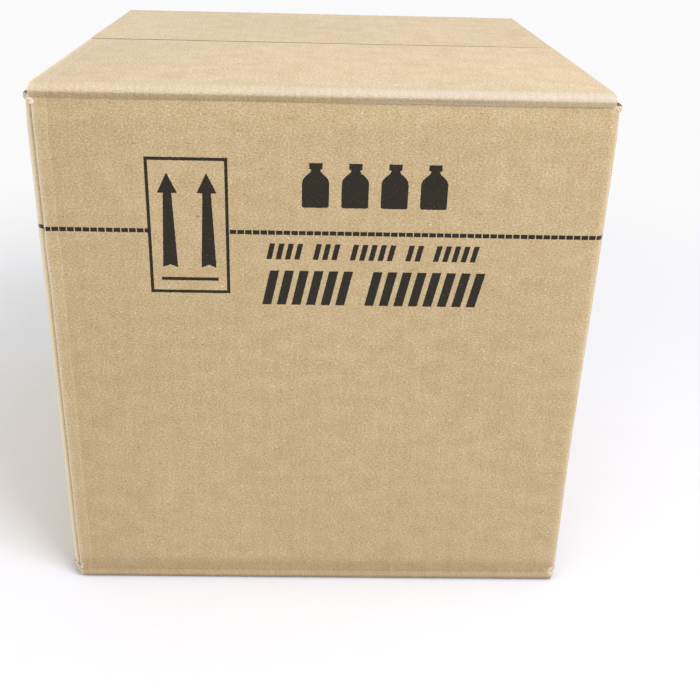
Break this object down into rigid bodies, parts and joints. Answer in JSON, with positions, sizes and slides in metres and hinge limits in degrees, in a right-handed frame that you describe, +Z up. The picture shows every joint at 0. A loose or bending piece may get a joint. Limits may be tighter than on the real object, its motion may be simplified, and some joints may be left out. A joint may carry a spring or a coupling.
{
  "type": "corrugated shipping carton",
  "caption": "Shut square carton of kraft corrugated board with rolled folds, meeting flaps and plain handling marks printed on it; stands on its flat base.",
  "frame": {"origin": "middle of the base, on the surface that the carton stands on", "axes": "+Z up; the printed front panel faces -Y; +X to the right seen from the front, along the seam of the outer flaps"},
  "size_m": [0.318, 0.318, 0.318],
  "materials": {
    "kraft_board": "matte kraft liner with dark printed marks"
  },
  "bodies": {
    "root": {"carton": "kraft_board"}
  },
  "joints": []
}
